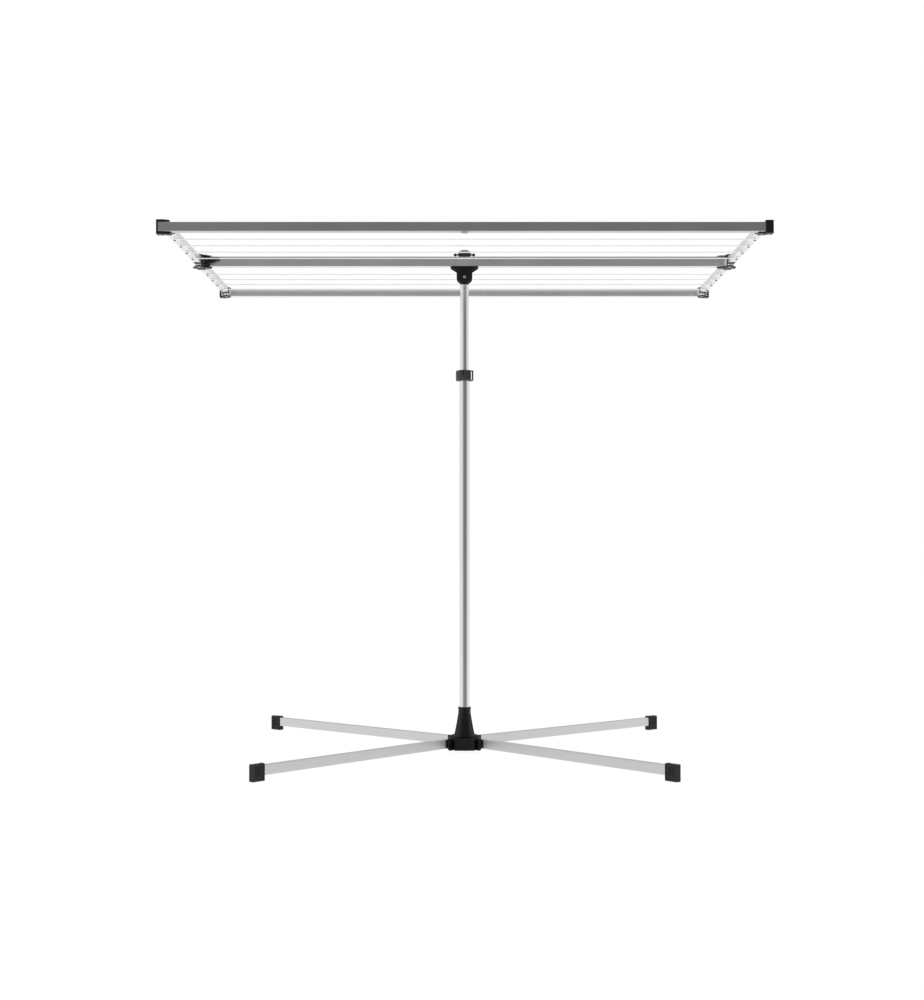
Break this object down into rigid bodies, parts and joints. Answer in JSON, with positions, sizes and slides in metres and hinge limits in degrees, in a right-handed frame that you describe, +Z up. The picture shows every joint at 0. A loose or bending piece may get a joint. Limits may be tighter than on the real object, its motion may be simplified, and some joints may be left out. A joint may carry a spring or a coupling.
{
  "type": "rotary clothesline",
  "caption": "Free-standing clothesline: a flat rack of long bars and lines with folding wings, on a telescopic pole with a swivelling, tilting head and folding legs.",
  "frame": {"origin": "on the floor, in the middle of the stand's hub, under the pole's axis", "axes": "+X along the long bars towards the closed front corner, +Y from the front wing to the rear wing, +Z up along the pole"},
  "size_m": [1.65, 1.218, 1.5106],
  "materials": {
    "black_plastic": "fine moulded grain",
    "grey_plastic": "fine moulded grain",
    "light_plastic": "smooth, grey",
    "bar_metal": "satin grey anodised",
    "arm_metal": "satin, light",
    "leg_metal": "satin, light",
    "pole_metal": "bright drawn tube",
    "pin_steel": "bright zinc",
    "line_cord": "smooth white coated cord"
  },
  "bodies": {
    "base": {"hub_block": "black_plastic", "hub_cone": "black_plastic", "leg_pins": "pin_steel", "pole_lower": "pole_metal", "collar_body": "grey_plastic", "collar_pin": "pin_steel"},
    "clamp_lever": {"collar_lever": "grey_plastic"},
    "mast": {"pole_upper": "pole_metal", "mast_guide": "black_plastic", "head_bush": "black_plastic", "head_screw": "pin_steel"},
    "head": {"swivel_head": "black_plastic"},
    "rack": {"tilt_bracket": "black_plastic", "tilt_bolt": "pin_steel", "tilt_nut": "pin_steel", "mid_bar": "bar_metal", "mid_bracket_left": "black_plastic", "mid_bracket_right": "black_plastic", "rack_pins": "pin_steel"},
    "knob": {"top_knob": "black_plastic", "knob_cap": "light_plastic", "knob_stud": "pin_steel"},
    "lock_lever": {"lock_lever": "black_plastic"},
    "leg_front_left": {"leg_front_left": "leg_metal", "knuckle_front_left": "black_plastic", "foot_front_left": "black_plastic"},
    "leg_front_right": {"leg_front_right": "leg_metal", "knuckle_front_right": "black_plastic", "foot_front_right": "black_plastic"},
    "leg_rear_left": {"leg_rear_left": "leg_metal", "knuckle_rear_left": "black_plastic", "foot_rear_left": "black_plastic"},
    "leg_rear_right": {"leg_rear_right": "leg_metal", "knuckle_rear_right": "black_plastic", "foot_rear_right": "black_plastic"},
    "front_arm_left": {"front_arm_left": "arm_metal", "front_posts_left": "black_plastic"},
    "front_arm_right": {"front_arm_right": "arm_metal", "front_posts_right": "black_plastic"},
    "front_bar": {"front_bar": "bar_metal", "front_bracket_left": "black_plastic", "front_bracket_right": "black_plastic", "front_pins": "pin_steel", "rest_button": "light_plastic"},
    "front_line_1": {"front_line_1": "line_cord"},
    "front_line_2": {"front_line_2": "line_cord"},
    "front_line_3": {"front_line_3": "line_cord"},
    "front_line_4": {"front_line_4": "line_cord"},
    "rear_arm_left": {"rear_arm_left": "arm_metal", "rear_posts_left": "black_plastic"},
    "rear_arm_right": {"rear_arm_right": "arm_metal", "rear_posts_right": "black_plastic"},
    "rear_bar": {"rear_bar": "bar_metal", "rear_bracket_left": "black_plastic", "rear_bracket_right": "black_plastic", "rear_pins": "pin_steel"},
    "rear_line_1": {"rear_line_1": "line_cord"},
    "rear_line_2": {"rear_line_2": "line_cord"},
    "rear_line_3": {"rear_line_3": "line_cord"},
    "rear_line_4": {"rear_line_4": "line_cord"}
  },
  "joints": [
    {"name": "leg_front_left_fold", "type": "hinge", "parent": "base", "child": "leg_front_left", "pos_m": [-0.03084, -0.03547, 0.028], "axis": [-0.7547, 0.6561, 0], "range_deg": [0, 90]},
    {"name": "leg_front_right_fold", "type": "hinge", "parent": "base", "child": "leg_front_right", "pos_m": [0.03084, -0.03547, 0.028], "axis": [-0.7547, -0.6561, 0], "range_deg": [0, 90]},
    {"name": "leg_rear_left_fold", "type": "hinge", "parent": "base", "child": "leg_rear_left", "pos_m": [-0.03547, 0.03084, 0.028], "axis": [0.6561, 0.7547, 0], "range_deg": [0, 90]},
    {"name": "leg_rear_right_fold", "type": "hinge", "parent": "base", "child": "leg_rear_right", "pos_m": [0.03547, 0.03084, 0.028], "axis": [0.6561, -0.7547, 0], "range_deg": [0, 90]},
    {"name": "clamp_lever_swing", "type": "hinge", "parent": "base", "child": "clamp_lever", "pos_m": [0.0244, 0.006, 1.129], "axis": [0, 0, 1], "range_deg": [0, 110]},
    {"name": "mast_slide", "type": "slide", "parent": "base", "child": "mast", "axis": [0, 0, 1], "range_m": [-0.23, 0]},
    {"name": "rack_spin", "type": "hinge", "parent": "mast", "child": "head", "pos_m": [0, 0, 1.404], "axis": [0, 0, 1], "continuous": true},
    {"name": "rack_tilt", "type": "hinge", "parent": "head", "child": "rack", "pos_m": [0, 0, 1.425], "axis": [0, 1, 0], "range_deg": [-90, 0]},
    {"name": "knob_turn", "type": "hinge", "parent": "rack", "child": "knob", "pos_m": [0, 0, 1.494], "axis": [0, 0, 1], "range_deg": [0, 180]},
    {"name": "lock_lever_swing", "type": "hinge", "parent": "rack", "child": "lock_lever", "pos_m": [-0.78, -0.021, 1.475], "axis": [0, 0, -1], "range_deg": [0, 85]},
    {"name": "front_wing_fold", "type": "hinge", "parent": "rack", "child": "front_arm_left", "pos_m": [-0.8, -0.024, 1.475], "axis": [0, 0, -1], "range_deg": [0, 80]},
    {"name": "front_right_arm_fold", "type": "hinge", "parent": "rack", "child": "front_arm_right", "pos_m": [0.8, -0.024, 1.475], "axis": [0, 0, -1], "range_deg": [0, 80]},
    {"name": "front_bar_pivot", "type": "hinge", "parent": "front_arm_left", "child": "front_bar", "pos_m": [-0.8, -0.536, 1.468], "axis": [0, 0, -1], "range_deg": [-80, 0]},
    {"name": "front_line_1_pivot", "type": "hinge", "parent": "front_arm_left", "child": "front_line_1", "pos_m": [-0.8, -0.14, 1.4599], "axis": [0, 0, -1], "range_deg": [-80, 0]},
    {"name": "front_line_2_pivot", "type": "hinge", "parent": "front_arm_left", "child": "front_line_2", "pos_m": [-0.8, -0.238, 1.4599], "axis": [0, 0, -1], "range_deg": [-80, 0]},
    {"name": "front_line_3_pivot", "type": "hinge", "parent": "front_arm_left", "child": "front_line_3", "pos_m": [-0.8, -0.336, 1.4599], "axis": [0, 0, -1], "range_deg": [-80, 0]},
    {"name": "front_line_4_pivot", "type": "hinge", "parent": "front_arm_left", "child": "front_line_4", "pos_m": [-0.8, -0.434, 1.4599], "axis": [0, 0, -1], "range_deg": [-80, 0]},
    {"name": "rear_wing_fold", "type": "hinge", "parent": "rack", "child": "rear_arm_left", "pos_m": [-0.8, 0.024, 1.475], "axis": [0, 0, -1], "range_deg": [0, 80]},
    {"name": "rear_right_arm_fold", "type": "hinge", "parent": "rack", "child": "rear_arm_right", "pos_m": [0.8, 0.024, 1.475], "axis": [0, 0, -1], "range_deg": [0, 80]},
    {"name": "rear_bar_pivot", "type": "hinge", "parent": "rear_arm_left", "child": "rear_bar", "pos_m": [-0.8, 0.536, 1.468], "axis": [0, 0, -1], "range_deg": [-80, 0]},
    {"name": "rear_line_1_pivot", "type": "hinge", "parent": "rear_arm_left", "child": "rear_line_1", "pos_m": [-0.8, 0.14, 1.4599], "axis": [0, 0, -1], "range_deg": [-80, 0]},
    {"name": "rear_line_2_pivot", "type": "hinge", "parent": "rear_arm_left", "child": "rear_line_2", "pos_m": [-0.8, 0.238, 1.4599], "axis": [0, 0, -1], "range_deg": [-80, 0]},
    {"name": "rear_line_3_pivot", "type": "hinge", "parent": "rear_arm_left", "child": "rear_line_3", "pos_m": [-0.8, 0.336, 1.4599], "axis": [0, 0, -1], "range_deg": [-80, 0]},
    {"name": "rear_line_4_pivot", "type": "hinge", "parent": "rear_arm_left", "child": "rear_line_4", "pos_m": [-0.8, 0.434, 1.4599], "axis": [0, 0, -1], "range_deg": [-80, 0]}
  ],
  "couplings": [
    {"joint": "front_right_arm_fold", "follows": "front_wing_fold", "ratio": 1},
    {"joint": "front_bar_pivot", "follows": "front_wing_fold", "ratio": -1},
    {"joint": "front_line_1_pivot", "follows": "front_wing_fold", "ratio": -1},
    {"joint": "front_line_2_pivot", "follows": "front_wing_fold", "ratio": -1},
    {"joint": "front_line_3_pivot", "follows": "front_wing_fold", "ratio": -1},
    {"joint": "front_line_4_pivot", "follows": "front_wing_fold", "ratio": -1},
    {"joint": "rear_right_arm_fold", "follows": "rear_wing_fold", "ratio": 1},
    {"joint": "rear_bar_pivot", "follows": "rear_wing_fold", "ratio": -1},
    {"joint": "rear_line_1_pivot", "follows": "rear_wing_fold", "ratio": -1},
    {"joint": "rear_line_2_pivot", "follows": "rear_wing_fold", "ratio": -1},
    {"joint": "rear_line_3_pivot", "follows": "rear_wing_fold", "ratio": -1},
    {"joint": "rear_line_4_pivot", "follows": "rear_wing_fold", "ratio": -1}
  ]
}
